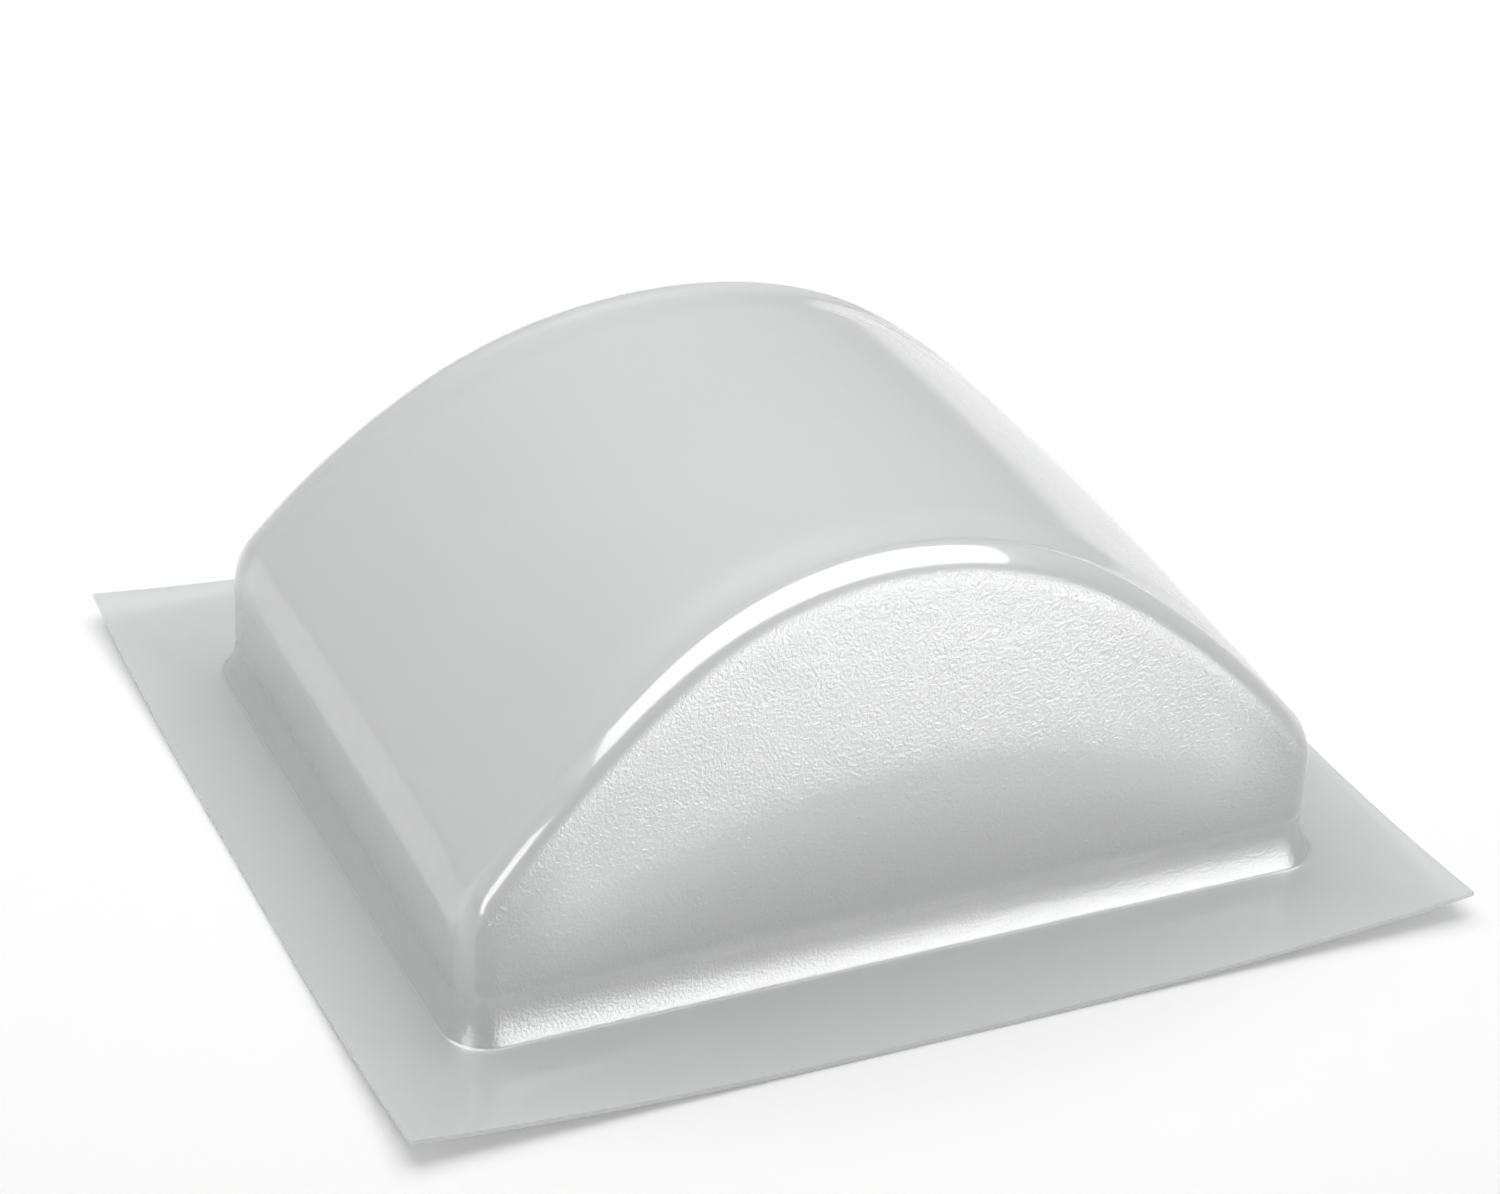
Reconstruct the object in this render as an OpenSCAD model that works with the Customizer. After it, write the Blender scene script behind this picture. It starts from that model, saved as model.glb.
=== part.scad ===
// Roof vent cover: one thermoformed sheet. A flat fixing flange runs all round, low side walls rise
// from it over a flared foot, a barrel vault spans them, and a D-shaped end wall closes each end.
// Origin: centre of the flange's underside. X runs across the vault, Y along it, Z up.

/* [Overall] */
// Width over the flange, across the vault
cover_w = 560; // [460:1:680]
// Length over the flange, along the vault
cover_l = 500; // [410:1:610]
// Height of the crown above the flange's underside
cover_h = 208; // [170:1:255]
// Thickness of the formed sheet
sheet_t = 2.5; // [1.5:0.1:5]

/* [Flange] */
// Width of the flange beside the foot of each side wall
side_margin = 44.5; // [30:0.5:70]
// Width of the flange beyond the foot of each end wall
end_margin = 62; // [40:0.5:90]

/* [Foot] */
// How far the foot of the walls flares out onto the flange
foot_flare = 9.5; // [6:0.5:11]
// Lean of the flare from upright
foot_lean = 22; // [18:1:35]

/* [Walls] */
// Height of the side walls, where the vault springs
spring_h = 70; // [50:1:90]
// Inward lean of the side walls
side_draft = 1; // [0.5:0.1:3]
// Inward lean of the end walls at their foot
end_draft = 0.5; // [0.5:0.1:3]
// Radius of the end walls' bulge, seen from the side
end_bulge_r = 840; // [600:5:1200]
// Radius of the corners in plan, at their foot
corner_r = 40; // [38:1:60]

/* [Vault] */
// Slope of the vault where it springs from the side walls
spring_slope = 52; // [50:0.5:60]
// Half angle of the crown arc
crown_half_angle = 36; // [24:0.5:40]
// Turn from one strip of the vault to the next
strip_angle = 1.5; // [1:0.5:3]

/* [Hidden] */
$fn = 96;
// how far an outline runs past the faces that another outline sets
past = 20;
// number of flat strips that an end wall's bulge is drawn in
profile_steps = 16;

foot_w = cover_w - 2 * side_margin;
foot_l = cover_l - 2 * end_margin;
// the walls' width and length where they would reach z = 0 without their flared foot
body_w = foot_w - 2 * foot_flare;
body_l = foot_l - 2 * foot_flare;

// The vault is a crown arc between two flank arcs, tangent where they meet. Its rise and its half
// span at the springing line, with the two angles, fix both radii.
half_span = body_w / 2 - spring_h * tan(side_draft);
rise = cover_h - spring_h;
flank_x = sin(spring_slope) - sin(crown_half_angle);
flank_z = cos(crown_half_angle) - cos(spring_slope);
crown_x = sin(crown_half_angle);
crown_z = 1 - cos(crown_half_angle);
flank_r = (rise * crown_x - half_span * crown_z) / (flank_z * crown_x - flank_x * crown_z);
crown_r = (half_span - flank_r * flank_x) / crown_x;
crown_centre = [0, cover_h - crown_r];
flank_centre = crown_centre + (crown_r - flank_r) * [crown_x, 1 - crown_z];

// A point of the vault where it slopes down towards +X by an angle, inset by a sheet or not at all.
function flank_point(slope, inset) = flank_centre + (flank_r - inset) * [sin(slope), cos(slope)];
function crown_point(slope, inset) = crown_centre + (crown_r - inset) * [sin(slope), cos(slope)];

// A point of the side wall's face at a height.
function wall_point(z, inset) = [body_w / 2 - inset / cos(side_draft) - z * tan(side_draft), z];

// The height at which a wall's face turns out into the flare.
function turn_z(draft, inset) =
    (foot_flare - inset / cos(foot_lean) + inset / cos(draft)) / (tan(foot_lean) - tan(draft));

// A point of the flare's face at a height, for walls a half width or half length from the centre.
function flare_point(half, z, inset) =
    [half + foot_flare - inset / cos(foot_lean) - z * tan(foot_lean), z];

// The slope of the flank arc where it meets the side wall's face.
function meeting_slope(inset) =
    let(
        from_centre = wall_point(0, inset) - flank_centre,
        up_wall = [-sin(side_draft), cos(side_draft)],
        along = from_centre * up_wall,
        reach = sqrt(pow(flank_r - inset, 2) - from_centre * from_centre + along * along),
        meeting = from_centre + (reach - along) * up_wall
    )
    atan2(meeting[0], meeting[1]);

// An arc's slopes, from the first to the last in equal steps of about a strip's angle.
function slopes(first, last) =
    let(steps = ceil((last - first) / strip_angle))
    [for (i = [0:steps]) first + (last - first) * i / steps];

// One half of the cross-section's outline, from the crown down to z = -depth.
function half_outline(inset, depth) = concat(
    [for (a = slopes(0, crown_half_angle)) crown_point(a, inset)],
    [for (a = slopes(crown_half_angle, meeting_slope(inset))) if (a > crown_half_angle)
        flank_point(a, inset)],
    [wall_point(turn_z(side_draft, inset), inset), flare_point(body_w / 2, -depth, inset)]
);

// The cross-section in X and Z under the vault and between the side walls.
module cross_section(inset, depth) {
    half = half_outline(inset, depth);
    other_half = [for (i = [len(half) - 1:-1:1]) [-half[i][0], half[i][1]]];
    polygon(concat(other_half, half));
}

// A point of an end wall's bulge at a height. The arc starts at the wall's foot with its draft.
function bulge_point(z, inset) =
    let(
        centre_y = body_l / 2 - end_bulge_r * cos(end_draft),
        centre_z = -end_bulge_r * sin(end_draft)
    )
    [centre_y + sqrt(pow(end_bulge_r - inset, 2) - pow(z - centre_z, 2)), z];

// One half of the side profile's outline in Y and Z, from above the crown down to z = -depth.
function half_profile(inset, depth) =
    let(low = turn_z(end_draft, inset), step = (cover_h + past - low) / profile_steps)
    concat(
        [for (i = [0:profile_steps]) bulge_point(cover_h + past - i * step, inset)],
        [flare_point(body_l / 2, -depth, inset)]
    );

// The side profile in Y and Z between the end walls.
module side_profile(inset, depth) {
    half = half_profile(inset, depth);
    other_half = [for (i = [len(half) - 1:-1:0]) [-half[i][0], half[i][1]]];
    polygon(concat(other_half, half));
}

// The outline in plan, with round corners.
module plan_outline(inset) {
    radius = corner_r - inset;
    dx = foot_w / 2 - corner_r;
    dy = foot_l / 2 - corner_r;
    for (sx = [-1, 1], sy = [-1, 1])
        translate([sx * dx, sy * dy]) circle(radius);
    square([2 * dx, 2 * (dy + radius)], center = true);
    square([2 * (dx + radius), 2 * dy], center = true);
}

// The dome as a solid, where its outlines meet. Inset by the sheet, it is the space inside.
module dome_solid(inset, depth) {
    intersection() {
        rotate([90, 0, 0])
            linear_extrude(height = cover_l, center = true) cross_section(inset, depth);
        rotate([90, 0, 90])
            linear_extrude(height = cover_w, center = true) side_profile(inset, depth + past);
        translate([0, 0, -depth - past])
            linear_extrude(height = depth + cover_h + 2 * past) plan_outline(inset);
    }
}

// The formed sheet: flange, foot and dome in one piece, open underneath.
module dome_cover() {
    color("gainsboro")
        difference() {
            union() {
                translate([-cover_w / 2, -cover_l / 2, 0]) cube([cover_w, cover_l, sheet_t]);
                dome_solid(0, 0);
            }
            dome_solid(sheet_t, sheet_t);
        }
}

dome_cover();
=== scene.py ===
"""Roof vent cover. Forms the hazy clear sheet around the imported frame, gives it its finish, and sets
the floor, lamps and camera. Everything is in metres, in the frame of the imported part."""

from math import cos, radians, sin, tan

import bmesh
import bpy
import numpy as np
from mathutils import Matrix, Vector


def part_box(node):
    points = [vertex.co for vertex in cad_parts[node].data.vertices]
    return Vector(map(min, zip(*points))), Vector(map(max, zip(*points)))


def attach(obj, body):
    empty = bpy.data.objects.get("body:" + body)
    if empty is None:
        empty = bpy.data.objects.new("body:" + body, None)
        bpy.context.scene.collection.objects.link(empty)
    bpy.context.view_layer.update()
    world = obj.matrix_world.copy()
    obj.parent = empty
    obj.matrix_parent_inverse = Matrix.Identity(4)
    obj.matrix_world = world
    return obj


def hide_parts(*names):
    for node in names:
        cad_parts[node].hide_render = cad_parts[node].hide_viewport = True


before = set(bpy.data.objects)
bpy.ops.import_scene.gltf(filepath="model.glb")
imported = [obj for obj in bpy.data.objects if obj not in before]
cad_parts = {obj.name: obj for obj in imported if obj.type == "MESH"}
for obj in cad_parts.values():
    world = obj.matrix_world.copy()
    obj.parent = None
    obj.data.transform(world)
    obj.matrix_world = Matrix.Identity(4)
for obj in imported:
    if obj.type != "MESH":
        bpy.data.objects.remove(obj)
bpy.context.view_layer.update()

bl_info = {
    "name": "Roof Vent Cover",
    "version": (1, 0, 0),
    "blender": (4, 5, 0),
    "location": "View3D > Sidebar > Vent Cover",
    "description": "Forms a thermoformed roof vent cover and its studio stage",
    "category": "Add Mesh",
}

NODE = "dome_cover"
BODY = "root"
SLOT = "hazy_clear_sheet"
COVER_LOW, COVER_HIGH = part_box(NODE)
COVER_W = COVER_HIGH.x - COVER_LOW.x
COVER_L = COVER_HIGH.y - COVER_LOW.y
COVER_H = COVER_HIGH.z - COVER_LOW.z


def length_property(name, description, default):
    return bpy.props.FloatProperty(
        name=name, description=description, default=default, min=0.0, precision=4, unit="LENGTH"
    )


def angle_property(name, description, degrees):
    return bpy.props.FloatProperty(
        name=name, description=description, default=radians(degrees), subtype="ANGLE", unit="ROTATION"
    )


def number_property(name, description, default):
    return bpy.props.FloatProperty(name=name, description=description, default=default, min=0.0)


def colour_property(name, description, default):
    return bpy.props.FloatVectorProperty(
        name=name, description=description, default=default, size=3, subtype="COLOR", min=0.0, max=1.0
    )


class CoverShape(bpy.types.PropertyGroup):
    """Sizes of the formed sheet"""

    thickness: length_property("Sheet thickness", "Thickness of the formed sheet", 0.0025)
    side_margin: length_property("Side margin", "Flange beside each side wall's foot", 0.0445)
    end_margin: length_property("End margin", "Flange beyond each end wall's foot", 0.062)
    spring_height: length_property("Springing height", "Where the vault leaves the side walls", 0.070)
    side_draft: angle_property("Side draft", "Inward lean of the side walls", 0.6)
    spring_slope: angle_property("Springing slope", "Slope of the vault where it springs", 52)
    crown_half_angle: angle_property("Crown half angle", "Half the turn of the crown arc", 36)
    apex_setback: length_property("Apex setback", "How far back an end wall has leant at the apex", 0.0275)
    setback_start: length_property("Setback start", "Vault height below which the walls don't lean", 0.050)
    lean_start: number_property("Lean start", "Share of its height where an end wall starts to lean", 0.52)
    lean_power: number_property("Lean power", "How gradually an end wall's lean sets in", 1.3)
    rim_radius: length_property("Rim radius", "Forming radius between the vault and an end wall", 0.014)
    vault_swell: length_property("Vault swell", "How far the crown swells between its rims", 0.002)
    flank_swell: length_property("Flank swell", "How much more the vault's flanks swell", 0.003)
    neck_depth: length_property("Neck depth", "Depth of the dip beside each rim", 0.0016)
    neck_near: length_property("Neck rise", "From the dip up to the rim's forming radius", 0.007)
    neck_far: length_property("Neck run", "From the dip back to the vault's line", 0.026)
    knee_radius: length_property("Knee radius", "Forming radius where the vault springs", 0.010)
    corner_radius: length_property("Corner radius", "Radius of the upright corners at their foot", 0.017)
    flare_radius: length_property("Flare radius", "Radius of the flare at the foot of the walls", 0.034)
    flare_turn: angle_property("Flare turn", "How far the flare turns before the crease", 36)
    crease_radius: length_property("Crease radius", "Radius of the crease between flare and flange", 0.002)
    corner_lift: length_property("Corner lift", "How far the flange's free corners curl up", 0.012)
    lift_power: number_property("Lift power", "How close to the corners the curl keeps", 2.5)


class SheetFinish(bpy.types.PropertyGroup):
    """Colours and surface of the sheet"""

    # low on the end walls this clear colour stands for painted shade
    tint_and_painted_shade: colour_property("Tint", "Colour of the sheet where it is clearest", (0.74, 0.745, 0.75))
    # high on the end walls this milky colour stands for painted light
    milk_and_painted_light: colour_property("Milk", "Colour of the sheet where it is milkiest", (0.93, 0.935, 0.94))


class StudioStage(bpy.types.PropertyGroup):
    """Floor, lamps and camera"""

    floor: colour_property("Floor", "Colour of the floor", (0.97, 0.97, 0.97))
    daylight: number_property("Surroundings", "Strength of the even light all round", 0.45)
    key: number_property("Key", "Radiance of the overhead softbox", 2.0)
    overhead: number_property("Overhead gloss", "Radiance of the overhead box in reflections only", 7.5)
    front: number_property("Front gloss", "Radiance of the front box in reflections only", 13.0)
    left: number_property("Left gloss", "Radiance of the left box in reflections only", 8.0)
    azimuth: angle_property("Azimuth", "Camera's turn about the cover", -25.48)
    elevation: angle_property("Elevation", "Camera's height above the horizon", 31.25)
    roll: angle_property("Roll", "Camera's tilt about its own axis", 3.11)
    distance: length_property("Distance", "From the camera to where it aims", 2.291)
    lens: number_property("Focal length", "In millimetres, on a 36 mm wide sensor", 101.9)


# ---------------------------------------------------------------- the formed sheet


class Vault:
    """The vault's line across the cover: a crown arc between two flank arcs, tangent where they meet."""

    def __init__(self, shape, foot_x):
        turn, slope = shape.crown_half_angle, shape.spring_slope
        self.turn, self.slope = turn, slope
        self.half_span = foot_x - shape.spring_height * tan(shape.side_draft)
        rise = COVER_H - shape.vault_swell - shape.spring_height
        ties = np.array([[sin(turn), sin(slope) - sin(turn)], [1 - cos(turn), cos(turn) - cos(slope)]])
        self.crown_r, self.flank_r = np.linalg.solve(ties, [self.half_span, rise])
        self.crown_z = COVER_H - shape.vault_swell - self.crown_r
        self.flank_x = (self.crown_r - self.flank_r) * sin(turn)
        self.flank_z = self.crown_z + (self.crown_r - self.flank_r) * cos(turn)

    def point(self, share):
        """x and z at a signed share of the line's half length from the crown."""
        crown_l = self.crown_r * self.turn
        run = np.abs(share) * (crown_l + self.flank_r * (self.slope - self.turn))
        on_crown = run <= crown_l
        angle = np.where(on_crown, run / self.crown_r, self.turn + (run - crown_l) / self.flank_r)
        radius = np.where(on_crown, self.crown_r, self.flank_r)
        x = np.where(on_crown, 0, self.flank_x) + radius * np.sin(angle)
        z = np.where(on_crown, self.crown_z, self.flank_z) + radius * np.cos(angle)
        return np.sign(share) * x, z

    def height(self, x):
        """Height of the line at x, held at its springing beyond the span."""
        x = np.minimum(np.abs(x), self.half_span)
        crown = self.crown_z + np.sqrt(np.maximum(self.crown_r**2 - x**2, 0))
        flank = self.flank_z + np.sqrt(np.maximum(self.flank_r**2 - (x - self.flank_x) ** 2, 0))
        return np.where(x <= self.crown_r * sin(self.turn), crown, flank)

    def distance(self, x, z):
        """Distance outside the line."""
        x = np.abs(x)
        beyond_crown = x * cos(self.turn) - (z - self.crown_z) * sin(self.turn) > 0
        crown = np.hypot(x, z - self.crown_z) - self.crown_r
        flank = np.hypot(x - self.flank_x, z - self.flank_z) - self.flank_r
        return np.where(beyond_crown, flank, crown)


def smooth_max(a, b, radius):
    """The larger of two distances, with the edge where they cross rounded to a radius."""
    corner = np.hypot(np.maximum(a + radius, 0), np.maximum(b + radius, 0))
    return np.minimum(np.maximum(a, b), -radius) + corner


def smooth_step(low, high, value):
    t = np.clip((value - low) / (high - low), 0, 1)
    return t * t * (3 - 2 * t)


class Dome:
    """The dome's outer surface above the flare, with all its forming radii."""

    CORE_Z = 0.060  # above this height vertices settle along rays from the axis at this height
    LEAST_SHARE, MOST_SHARE = 0.6, 1.06  # how far in and out along their rays vertices may settle
    HALVINGS = 40
    STEP = 1e-4  # for slopes

    def __init__(self, shape):
        self.shape = shape
        flare = shape.flare_radius * (1 - cos(shape.flare_turn))
        crease = shape.crease_radius * cos(shape.flare_turn)
        self.foot_x = COVER_W / 2 - shape.side_margin - flare - crease
        self.foot_y = COVER_L / 2 - shape.end_margin - flare - crease
        self.foot_z = (
            shape.thickness
            + shape.flare_radius * sin(shape.flare_turn)
            + shape.crease_radius * (1 - sin(shape.flare_turn))
        )
        self.vault = Vault(shape, self.foot_x)

    def side_x(self, z):
        return self.foot_x - z * tan(self.shape.side_draft)

    def setback(self, x, z):
        """How far an end wall has leant back at a point. It stands plumb low down, and leans most at
        mid-width."""
        top = self.vault.height(x)
        start = self.shape.lean_start
        share = np.maximum(z / top - start, 0) / (1 - start)
        at_rim = self.shape.apex_setback * (
            np.maximum(top - self.shape.setback_start, 0) / (COVER_H - self.shape.setback_start)
        ) ** 2
        return at_rim * share**self.shape.lean_power

    def swell(self, x, y, reach):
        """How far the vault swells out of its line. It dips beside its rims, and fades out at them."""
        s = self.shape
        inside = np.maximum(reach - y, 0)
        aside = np.minimum((x / self.vault.half_span) ** 2, 1)
        most = s.vault_swell + s.flank_swell * 4 * aside * (1 - aside)
        crown = most * (1 - np.minimum(y / reach, 1) ** 2)
        valley = s.rim_radius + s.neck_near
        dip = smooth_step(s.rim_radius, valley, inside) * smooth_step(valley + s.neck_far, valley, inside)
        return crown - s.neck_depth * dip

    def distance(self, p):
        """Distance outside the dome, near enough, at points in rows."""
        x, y, z = p[:, 0], np.abs(p[:, 1]), p[:, 2]
        s = self.shape
        side = (np.abs(x) - self.side_x(z)) * cos(s.side_draft)
        step = self.STEP
        back = self.setback(x, z)
        vault = self.vault.distance(x, z) - self.swell(x, y, self.foot_y - back)
        around = smooth_max(vault, side, s.knee_radius)
        lean = np.hypot(self.setback(x + step, z) - back, self.setback(x, z + step) - back) / step
        end = (y + back - self.foot_y) / np.sqrt(1 + lean**2)
        blend = smooth_step(s.spring_height * 0.4, s.spring_height * 1.1, z)
        radius = s.corner_radius + (s.rim_radius - s.corner_radius) * blend
        return smooth_max(around, end, radius)

    def settled(self, p):
        """The points, moved in or out along their rays to the rounded surface."""
        core = np.zeros_like(p)
        core[:, 2] = np.minimum(p[:, 2], self.CORE_Z)
        low, high = np.full(len(p), self.LEAST_SHARE), np.full(len(p), self.MOST_SHARE)
        for _ in range(self.HALVINGS):
            middle = (low + high) / 2
            outside = self.distance(core + (p - core) * middle[:, None]) > 0
            low, high = np.where(outside, low, middle), np.where(outside, middle, high)
        return core + (p - core) * ((low + high) / 2)[:, None]

    def normals(self, p):
        slope = np.stack(
            [self.distance(p + d) - self.distance(p - d) for d in np.eye(3) * self.STEP], axis=1
        )
        return slope / np.linalg.norm(slope, axis=1)[:, None]


def graded(count, fine):
    """Shares from -1 to 1, closer together towards both ends by the fine factor."""
    t = np.linspace(-1, 1, count + 1)
    spacing = 1 / (1 + fine * t**6)
    middle = (spacing[1:] + spacing[:-1]) / 2
    run = np.concatenate([[0], np.cumsum(middle)])
    return 2 * run / run[-1] - 1


def graded_one_end(count, fine):
    """Shares from 0 to 1, closer together towards 1."""
    return graded(2 * count, fine)[count:]


class SheetMesh:
    """Collects grids of points as one mesh."""

    def __init__(self):
        self.points, self.faces, self.grain, self.haze_and_painted_light = [], [], [], []
        self.count = 0

    def add(self, grid, grain, haze_and_painted_light):
        """A grid of points, as rows by columns by 3, with how grained and how milky the sheet is, the
        milkiness holding painted light and shade on the end walls.
        """
        rows, columns = grid.shape[:2]
        index = self.count + np.arange(rows * columns).reshape(rows, columns)
        quads = np.stack([index[:-1, :-1], index[:-1, 1:], index[1:, 1:], index[1:, :-1]], axis=-1)
        self.points.append(grid.reshape(-1, 3))
        self.grain.append(np.broadcast_to(grain, (rows, columns)).reshape(-1))
        self.haze_and_painted_light.append(np.broadcast_to(haze_and_painted_light, (rows, columns)).reshape(-1))
        self.faces += quads.reshape(-1, 4).tolist()
        self.count += rows * columns


ACROSS, ALONG, UP = 120, 96, 44  # grid cells over the vault, along it, and up the walls
FLARE_ROWS, CREASE_ROWS, FLANGE_ROWS = 10, 5, 22
WELD_DISTANCE = 2e-5  # grids' shared border vertices are merged within this
SHARP_EDGE = radians(40)  # edges that turn more than this are shaded sharp

# how milky the sheet is, between the clearest 0 and the milkiest 1; on the end walls it also holds painted
# light and shade, lighter high up and darker low down and at the corners
VAULT_HAZE = 0.4
PAINTED_SHADE_HAZE = 0.05  # painted shade, low on the end walls
FOOT_HAZE = 0.55 * VAULT_HAZE  # at the foot of the side walls, and at the top of the flare

# how grained the sheet is, between the smoothest 0 and the end walls' 1
FLARE_GRAIN = 0.5
SIDE_WALL_GRAIN = 0.35


def skirt(dome, wall_foot, outer):
    """The rows from a wall's foot contour out to the flange's edge, over the flare and crease."""
    s = dome.shape
    n = dome.normals(wall_foot)
    lean = np.arcsin(n[:, 2])
    out = n[:, :2] / np.linalg.norm(n[:, :2], axis=1)[:, None]
    rows = [wall_foot]
    arcs = [(s.flare_radius, None, s.flare_turn, FLARE_ROWS)]
    arcs.append((s.crease_radius, s.flare_turn, np.pi / 2, CREASE_ROWS))
    for radius, first, last, count in arcs:
        first = lean if first is None else np.full(len(lean), first)
        start = rows[-1]
        for i in range(1, count + 1):
            angle = first + (last - first) * i / count
            row = start.copy()
            row[:, :2] += out * (radius * (np.cos(first) - np.cos(angle)))[:, None]
            row[:, 2] -= radius * (np.sin(angle) - np.sin(first))
            rows.append(row)
    inner = rows[-1].copy()
    inner[:, 2] = s.thickness
    rows[-1] = inner
    lift = s.corner_lift * np.minimum(
        np.abs(outer[:, 0]) / (COVER_W / 2), np.abs(outer[:, 1]) / (COVER_L / 2)
    ) ** s.lift_power
    for share in np.linspace(0, 1, FLANGE_ROWS + 1)[1:]:
        row = inner + (outer - inner) * share
        row[:, 2] = s.thickness + lift * share**1.5
        rows.append(row)
    return np.stack(rows)


def skirt_haze(rows):
    """How milky the flare and the flange are: milkiest at the top of the flare, the clearest and greyest
    on the flange.
    """
    row = np.arange(rows)[:, None]
    return FOOT_HAZE * (1 - smooth_step(0, FLARE_ROWS + CREASE_ROWS, row))


def skirt_grain(rows):
    """How grained the flare is. The flange is smooth."""
    row = np.arange(rows)[:, None]
    return FLARE_GRAIN * (1 - smooth_step(FLARE_ROWS - 2, FLARE_ROWS + 2, row))


def form_outer_skin(shape):
    """The sheet's upper surface, as a mesh of quads, with its grain and haze at each vertex; the haze
    holds painted light and shade on the end walls.
    """
    dome = Dome(shape)
    mesh = SheetMesh()
    across, along, up = graded(ACROSS, 5), graded(ALONG, 6), graded_one_end(UP, 4)
    top_x, top_z = dome.vault.point(across)
    foot_x = across * dome.side_x(dome.foot_z)

    # the vault, between the two end walls
    x, v = np.meshgrid(top_x, along, indexing="ij")
    z = np.meshgrid(top_z, along, indexing="ij")[0]
    y = v * (dome.foot_y - dome.setback(x, z))
    grid = dome.settled(np.stack([x, y, z], -1).reshape(-1, 3)).reshape(*x.shape, 3)
    mesh.add(grid, 0.0, VAULT_HAZE)

    # each end wall, from the foot of its columns up to the rim
    u, w = np.meshgrid(np.arange(ACROSS + 1), up, indexing="ij")
    x = foot_x[u] + (top_x[u] - foot_x[u]) * w
    z = dome.foot_z + (top_z[u] - dome.foot_z) * w
    for end in (-1, 1):
        y = end * (dome.foot_y - dome.setback(x, z))
        grid = dome.settled(np.stack([x, y, z], -1).reshape(-1, 3)).reshape(*x.shape, 3)
        below_rim = (1 - w) * (top_z[u] - dome.foot_z)
        above_foot = z - dome.foot_z
        grain = smooth_step(0.002, 0.010, below_rim) * smooth_step(0.0, 0.008, above_foot)
        # the end walls are painted lighter towards the top and darker low down and towards their corners:
        # painted light and shade, carried in the sheet's colour and alpha
        corner_painted_shade = smooth_step(0.70, 0.95, np.abs(across[u]))
        upper_painted_light = smooth_step(0.15, 0.65, z / top_z[u]) * (1 - 0.9 * corner_painted_shade)
        wall_painted_light = PAINTED_SHADE_HAZE + (1 - PAINTED_SHADE_HAZE) * upper_painted_light
        mesh.add(grid, grain, VAULT_HAZE + grain * (wall_painted_light - VAULT_HAZE))
        edge_y = np.full(len(across), end * COVER_L / 2)
        outer = np.stack([across * COVER_W / 2, edge_y, 0 * across], 1)
        rows = skirt(dome, grid[:, 0], outer)
        mesh.add(rows, skirt_grain(len(rows)), skirt_haze(len(rows)))

    # each side wall, from its foot up to the springing line
    v, w = np.meshgrid(along, up, indexing="ij")
    z = dome.foot_z + (shape.spring_height - dome.foot_z) * w
    for side in (-1, 1):
        x = side * dome.side_x(z)
        y = v * (dome.foot_y - dome.setback(x, z))
        grid = dome.settled(np.stack([x, y, z], -1).reshape(-1, 3)).reshape(*x.shape, 3)
        grain = SIDE_WALL_GRAIN * smooth_step(0.0, 0.01, z - dome.foot_z) * (1 - w)
        mesh.add(grid, grain, FOOT_HAZE + (VAULT_HAZE - FOOT_HAZE) * w)
        edge_x = np.full(len(along), side * COVER_W / 2)
        outer = np.stack([edge_x, along * COVER_L / 2, 0 * along], 1)
        rows = skirt(dome, grid[:, 0], outer)
        mesh.add(rows, skirt_grain(len(rows)), skirt_haze(len(rows)))
    points, grain, haze_and_painted_light = (np.concatenate(rows) for rows in (mesh.points, mesh.grain, mesh.haze_and_painted_light))
    return points, mesh.faces, grain, haze_and_painted_light


def within_cover(point):
    """The point, held inside the cover's box."""
    return Vector([min(max(c, low), high) for c, low, high in zip(point, COVER_LOW, COVER_HIGH)])


def thicken(bm, thickness, layers):
    """Adds the sheet's under surface and its cut edge to the upper surface."""
    upper = list(bm.verts)
    faces = list(bm.faces)
    under = {v: bm.verts.new(within_cover(v.co - v.normal * thickness)) for v in upper}
    for v, w in under.items():
        for layer in layers:
            w[layer] = v[layer]
    boundary = [(e, e.link_loops[0]) for e in bm.edges if e.is_boundary]
    for f in faces:
        bm.faces.new([under[v] for v in reversed(f.verts)])
    for edge, loop in boundary:
        a, b = loop.vert, loop.link_loop_next.vert
        bm.faces.new([b, a, under[a], under[b]])


def build_sheet(shape):
    points, faces, grain, haze_and_painted_light = form_outer_skin(shape)
    mesh = bpy.data.meshes.new("dome_sheet")
    mesh.from_pydata(points.tolist(), [], faces)
    # this attribute carries the sheet's haze and the painted light and shade of the end walls
    for name, values in (("grain", grain), ("haze_and_painted_light", haze_and_painted_light)):
        attribute = mesh.attributes.new(name, "FLOAT", "POINT")
        attribute.data.foreach_set("value", values.astype(np.float32))
    bm = bmesh.new()
    bm.from_mesh(mesh)
    bmesh.ops.remove_doubles(bm, verts=bm.verts, dist=WELD_DISTANCE)
    bmesh.ops.recalc_face_normals(bm, faces=bm.faces)
    crown = max(bm.faces, key=lambda f: f.calc_center_median().z)
    if crown.normal.z < 0:
        bmesh.ops.reverse_faces(bm, faces=bm.faces)
    bm.normal_update()
    thicken(bm, shape.thickness, bm.verts.layers.float.values())
    bm.normal_update()
    for face in bm.faces:
        face.smooth = True
    for edge in bm.edges:
        edge.smooth = len(edge.link_faces) == 2 and edge.calc_face_angle(0) < SHARP_EDGE
    bm.to_mesh(mesh)
    bm.free()
    return mesh


# ---------------------------------------------------------------- the finish


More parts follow.
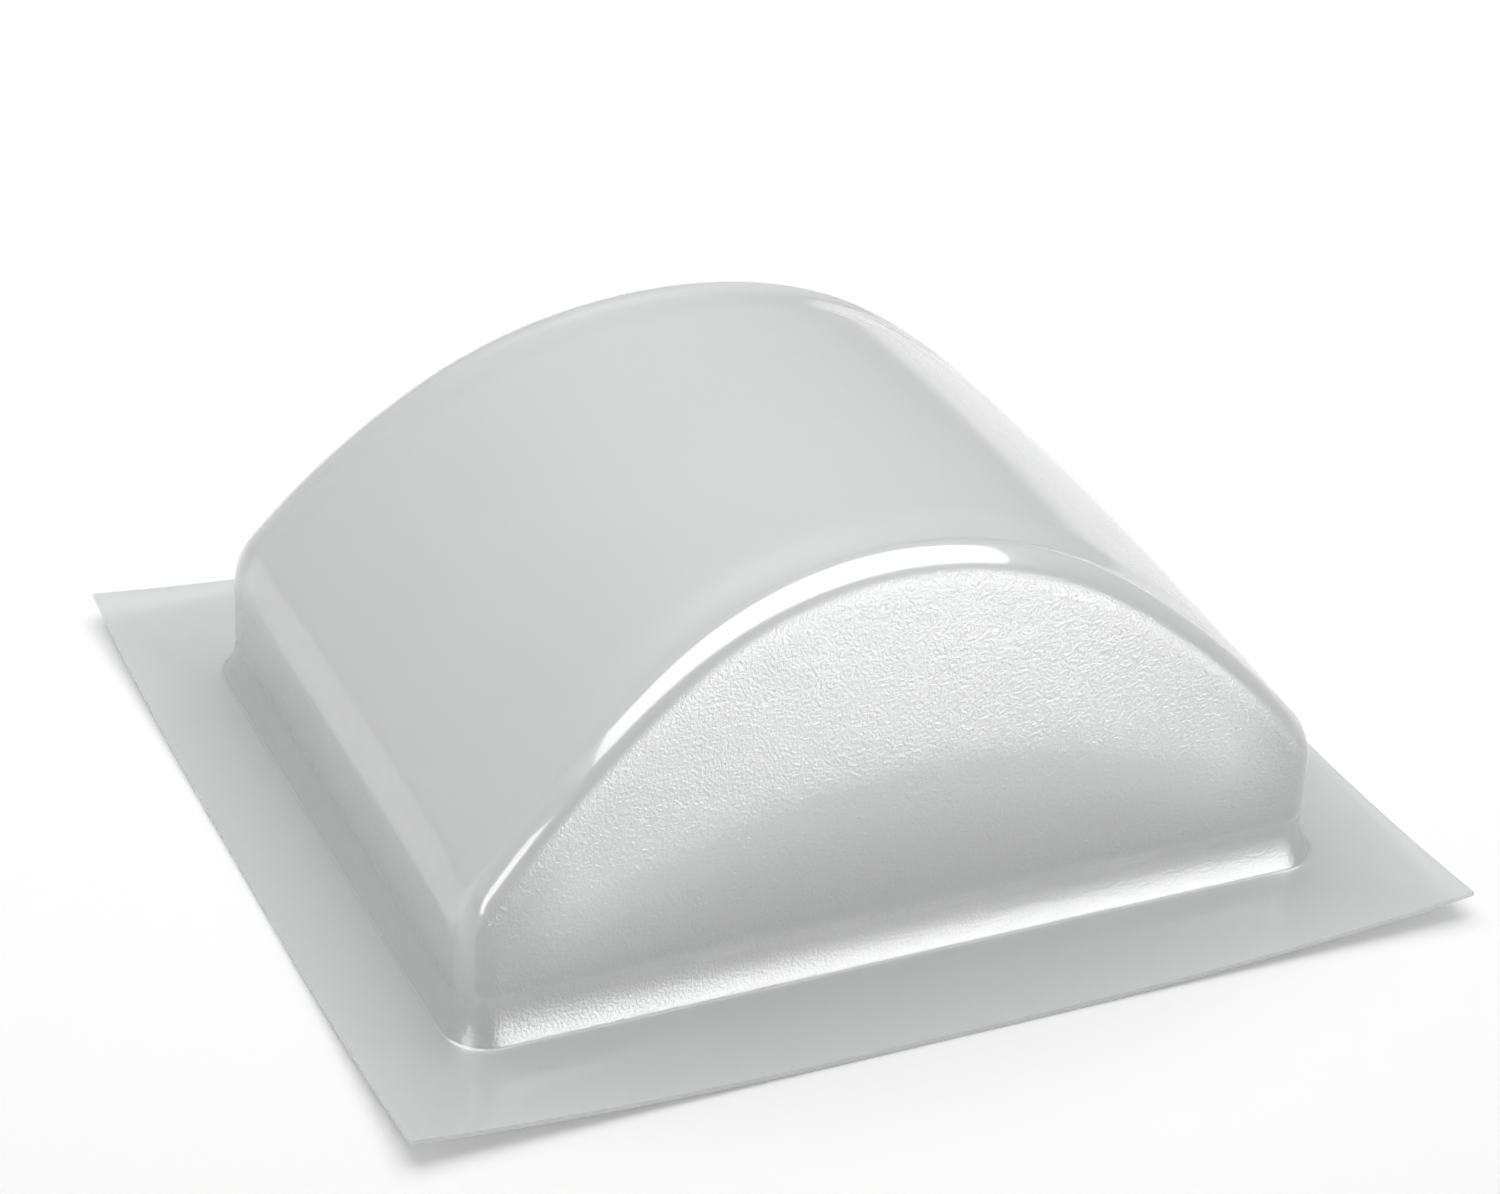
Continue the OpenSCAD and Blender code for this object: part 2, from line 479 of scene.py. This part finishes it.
PLASTIC_IOR = 1.49
GLOSS_ROUGHNESS = 0.04
CLOUD_SCALE, CLOUD_DETAIL = 9.0, 3.0
CLOUD_DRIFT = 0.07  # how far the milkiness drifts either way
PEBBLE_SCALE, PEBBLE_DETAIL, PEBBLE_ROUGHNESS = 620.0, 2.5, 0.6
PEBBLE_DEPTH = 0.0010
PEBBLE_STRENGTH = 0.85  # where the sheet is most grained
SMOOTH_ROUGHNESS, GRAIN_ROUGHNESS = 0.22, 0.40
CLEAREST_ALPHA, MILKIEST_ALPHA = 0.60, 0.90


def mix_by(tree, factor, low, high):
    """A value that goes from low to high with a factor."""
    node = tree.nodes.new("ShaderNodeMapRange")
    node.inputs["To Min"].default_value = low
    node.inputs["To Max"].default_value = high
    tree.links.new(factor, node.inputs["Value"])
    return node.outputs["Result"]


def attribute_output(tree, name):
    node = tree.nodes.new("ShaderNodeAttribute")
    node.attribute_name = name
    return node.outputs["Fac"]


def sheet_material(finish):
    """Hazy clear plastic: gloss where it was drawn smooth, finely pebbled where it kept its grain."""
    material = bpy.data.materials.new(SLOT)
    material.use_nodes = True
    tree = material.node_tree
    shader = tree.nodes["Principled BSDF"]
    shader.inputs["IOR"].default_value = PLASTIC_IOR
    shader.inputs["Coat Weight"].default_value = 1.0
    shader.inputs["Coat Roughness"].default_value = GLOSS_ROUGHNESS
    shader.inputs["Coat IOR"].default_value = PLASTIC_IOR

    place = tree.nodes.new("ShaderNodeTexCoord").outputs["Object"]
    grain = attribute_output(tree, "grain")
    # the sheet's haze, with the painted light and shade of the end walls
    haze_and_painted_light = attribute_output(tree, "haze_and_painted_light")

    clouds = tree.nodes.new("ShaderNodeTexNoise")
    clouds.inputs["Scale"].default_value = CLOUD_SCALE
    clouds.inputs["Detail"].default_value = CLOUD_DETAIL
    tree.links.new(place, clouds.inputs["Vector"])
    drift = mix_by(tree, clouds.outputs["Fac"], -CLOUD_DRIFT, CLOUD_DRIFT)
    milk_and_painted_light = tree.nodes.new("ShaderNodeMath")
    milk_and_painted_light.use_clamp = True
    tree.links.new(haze_and_painted_light, milk_and_painted_light.inputs[0])
    tree.links.new(drift, milk_and_painted_light.inputs[1])
    # colour from the clear tint to the milk colour: on the end walls this is painted light and shade
    tint_and_painted_shade = tree.nodes.new("ShaderNodeMix")
    tint_and_painted_shade.data_type = "RGBA"
    tint_and_painted_shade.inputs["A"].default_value = (*finish.tint_and_painted_shade, 1)
    tint_and_painted_shade.inputs["B"].default_value = (*finish.milk_and_painted_light, 1)
    tree.links.new(milk_and_painted_light.outputs["Value"], tint_and_painted_shade.inputs["Factor"])
    tree.links.new(tint_and_painted_shade.outputs["Result"], shader.inputs["Base Color"])

    pebbles = tree.nodes.new("ShaderNodeTexNoise")
    pebbles.inputs["Scale"].default_value = PEBBLE_SCALE
    pebbles.inputs["Detail"].default_value = PEBBLE_DETAIL
    pebbles.inputs["Roughness"].default_value = PEBBLE_ROUGHNESS
    tree.links.new(place, pebbles.inputs["Vector"])
    bump = tree.nodes.new("ShaderNodeBump")
    bump.inputs["Distance"].default_value = PEBBLE_DEPTH
    tree.links.new(pebbles.outputs["Fac"], bump.inputs["Height"])
    tree.links.new(mix_by(tree, grain, 0.0, PEBBLE_STRENGTH), bump.inputs["Strength"])
    tree.links.new(bump.outputs["Normal"], shader.inputs["Normal"])
    tree.links.new(bump.outputs["Normal"], shader.inputs["Coat Normal"])

    roughness = mix_by(tree, grain, SMOOTH_ROUGHNESS, GRAIN_ROUGHNESS)
    tree.links.new(roughness, shader.inputs["Roughness"])
    # alpha follows the haze, so the painted shade low on the end walls is also clearer
    alpha = mix_by(tree, haze_and_painted_light, CLEAREST_ALPHA, MILKIEST_ALPHA)
    tree.links.new(alpha, shader.inputs["Alpha"])
    return material


# ---------------------------------------------------------------- operators


class VENTCOVER_OT_form_sheet(bpy.types.Operator):
    """Form the cover's sheet and give it its finish"""

    bl_idname = "vent_cover.form_sheet"
    bl_label = "Form Sheet"

    def execute(self, context):
        mesh = build_sheet(context.scene.cover_shape)
        mesh.materials.append(sheet_material(context.scene.sheet_finish))
        cover = bpy.data.objects.new("dome_sheet", mesh)
        context.scene.collection.objects.link(cover)
        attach(cover, BODY)
        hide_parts(NODE)
        return {"FINISHED"}


def add_softbox(name, aim, direction, distance, size, radiance, in_gloss=True):
    """A rectangular lamp that faces the aim point from a direction. Its radiance sets its power. It
    shows either in reflections alone or in everything but them."""
    data = bpy.data.lights.new(name, "AREA")
    data.shape = "RECTANGLE"
    data.size, data.size_y = size
    data.energy = radiance * size[0] * size[1] * np.pi
    lamp = bpy.data.objects.new(name, data)
    away = Vector(direction).normalized()
    lamp.location = Vector(aim) + away * distance
    lamp.rotation_euler = away.to_track_quat("Z", "Y").to_euler()
    lamp.visible_camera = False
    lamp.visible_transmission = False
    lamp.visible_diffuse = not in_gloss
    lamp.visible_glossy = in_gloss
    bpy.context.scene.collection.objects.link(lamp)
    return lamp


def polar(azimuth, elevation):
    """A direction from its turn off -Y towards +X and its height above the horizon, in degrees."""
    a, e = radians(azimuth), radians(elevation)
    return Vector((sin(a) * cos(e), -cos(a) * cos(e), sin(e)))


class VENTCOVER_OT_set_stage(bpy.types.Operator):
    """Set the floor, the lamps and the camera"""

    bl_idname = "vent_cover.set_stage"
    bl_label = "Set Stage"

    FLOOR_SIZE = 30.0
    AIM = (0.0442, 0.1082, 0.028)

    def execute(self, context):
        stage = context.scene.studio_stage
        self.add_camera(context, stage)
        self.add_floor(context, stage)
        self.add_light(context, stage)
        return {"FINISHED"}

    def add_camera(self, context, stage):
        data = bpy.data.cameras.new("camera")
        data.lens = stage.lens
        data.sensor_width = 36.0
        data.sensor_fit = "HORIZONTAL"
        data.clip_end = 100.0
        camera = bpy.data.objects.new("camera", data)
        a, e = stage.azimuth, stage.elevation
        back = Vector((sin(a) * cos(e), -cos(a) * cos(e), sin(e)))
        right = Vector((cos(a), sin(a), 0))
        turn = Matrix.Rotation(-stage.roll, 3, -back)
        up = turn @ back.cross(right)
        right = turn @ right
        axes = Matrix((right, up, back)).transposed()
        place = Matrix.Translation(Vector(self.AIM) + back * stage.distance)
        camera.matrix_world = place @ axes.to_4x4()
        context.scene.collection.objects.link(camera)
        context.scene.camera = camera

    def add_floor(self, context, stage):
        half = self.FLOOR_SIZE / 2
        mesh = bpy.data.meshes.new("floor")
        corners = [(-half, -half, 0), (half, -half, 0), (half, half, 0), (-half, half, 0)]
        mesh.from_pydata(corners, [], [(0, 1, 2, 3)])
        material = bpy.data.materials.new("floor_paint")
        material.use_nodes = True
        shader = material.node_tree.nodes["Principled BSDF"]
        shader.inputs["Base Color"].default_value = (*stage.floor, 1)
        shader.inputs["Roughness"].default_value = 0.9
        shader.inputs["Specular IOR Level"].default_value = 0.1
        mesh.materials.append(material)
        floor = bpy.data.objects.new("floor", mesh)
        floor.location.z = COVER_LOW.z - 0.0005
        context.scene.collection.objects.link(floor)

    def add_light(self, context, stage):
        world = bpy.data.worlds.new("surroundings")
        context.scene.world = world
        world.use_nodes = True
        background = world.node_tree.nodes["Background"]
        background.inputs["Color"].default_value = (1, 1, 1, 1)
        background.inputs["Strength"].default_value = stage.daylight
        aim = (0, 0, 0.08)
        key = add_softbox("overhead_key", aim, polar(160, 72), 2.6, (3.2, 3.0), stage.key, False)
        key.rotation_euler = (0, 0, 0)  # level, so that its plane doesn't cut the floor
        add_softbox("overhead_gloss", aim, (0, 0.06, 1.0), 2.4, (4.4, 2.4), stage.overhead)
        add_softbox("front_gloss", aim, polar(25, 17), 2.4, (1.7, 1.4), stage.front)
        add_softbox("left_gloss", aim, polar(-64, 20), 2.2, (0.7, 1.1), stage.left)
        context.scene.view_settings.view_transform = "Standard"


class VENTCOVER_PT_panel(bpy.types.Panel):
    """Sizes and steps of the vent cover"""

    bl_label = "Vent Cover"
    bl_idname = "VENTCOVER_PT_panel"
    bl_space_type = "VIEW_3D"
    bl_region_type = "UI"
    bl_category = "Vent Cover"

    def draw(self, context):
        layout = self.layout
        scene = context.scene
        for group in (scene.cover_shape, scene.sheet_finish, scene.studio_stage):
            column = layout.column(align=True)
            for name in group.__annotations__:
                column.prop(group, name)
        layout.operator(VENTCOVER_OT_set_stage.bl_idname)
        layout.operator(VENTCOVER_OT_form_sheet.bl_idname)


CLASSES = (
    CoverShape,
    SheetFinish,
    StudioStage,
    VENTCOVER_OT_set_stage,
    VENTCOVER_OT_form_sheet,
    VENTCOVER_PT_panel,
)


def register():
    for cls in CLASSES:
        bpy.utils.register_class(cls)
    bpy.types.Scene.cover_shape = bpy.props.PointerProperty(type=CoverShape)
    bpy.types.Scene.sheet_finish = bpy.props.PointerProperty(type=SheetFinish)
    bpy.types.Scene.studio_stage = bpy.props.PointerProperty(type=StudioStage)


def unregister():
    del bpy.types.Scene.studio_stage
    del bpy.types.Scene.sheet_finish
    del bpy.types.Scene.cover_shape
    for cls in reversed(CLASSES):
        bpy.utils.unregister_class(cls)


def main():
    register()
    bpy.ops.vent_cover.set_stage()
    bpy.ops.vent_cover.form_sheet()


if __name__ == "__main__":
    main()
